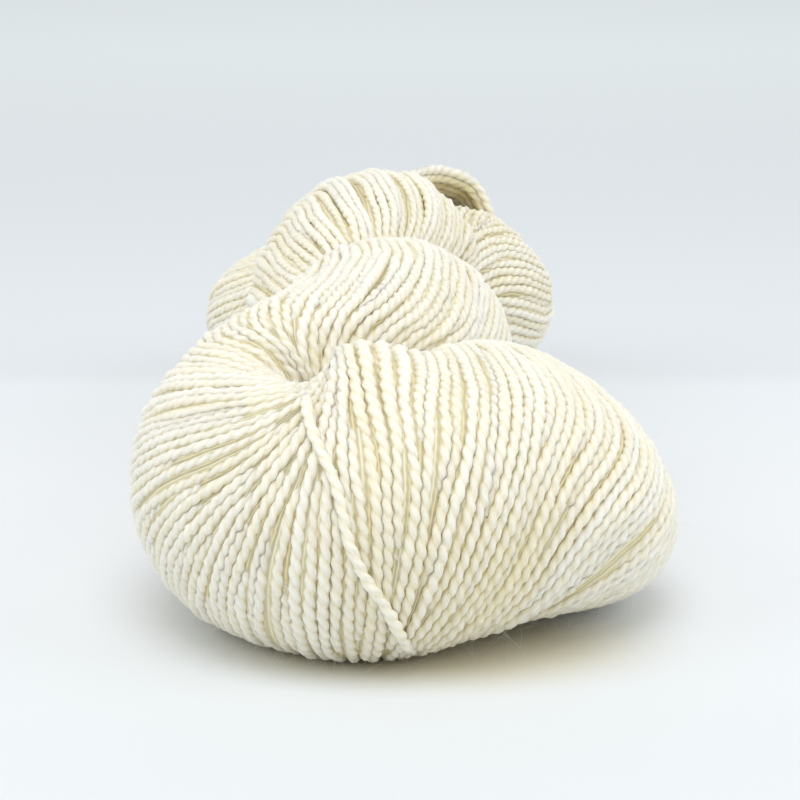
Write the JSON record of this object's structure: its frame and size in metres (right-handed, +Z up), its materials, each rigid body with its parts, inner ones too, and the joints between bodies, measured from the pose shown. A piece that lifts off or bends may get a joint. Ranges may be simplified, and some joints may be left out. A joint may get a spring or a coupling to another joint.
{
  "type": "worsted wool yarn hank",
  "caption": "Twisted hank of worsted weight wool yarn: two thick strands wound round each other, turned back in a rounded fold at each end.",
  "frame": {"origin": "on the supporting surface, under the middle of the hank's box", "axes": "+Y along the hank, from the near fold to the far fold with the small loop; +X across; +Z up"},
  "size_m": [0.0975, 0.2503, 0.0608],
  "materials": {
    "wool": "matte cream wool, two-ply worsted spun yarn, slightly fuzzy"
  },
  "bodies": {
    "root": {"hank": "wool"}
  },
  "joints": []
}
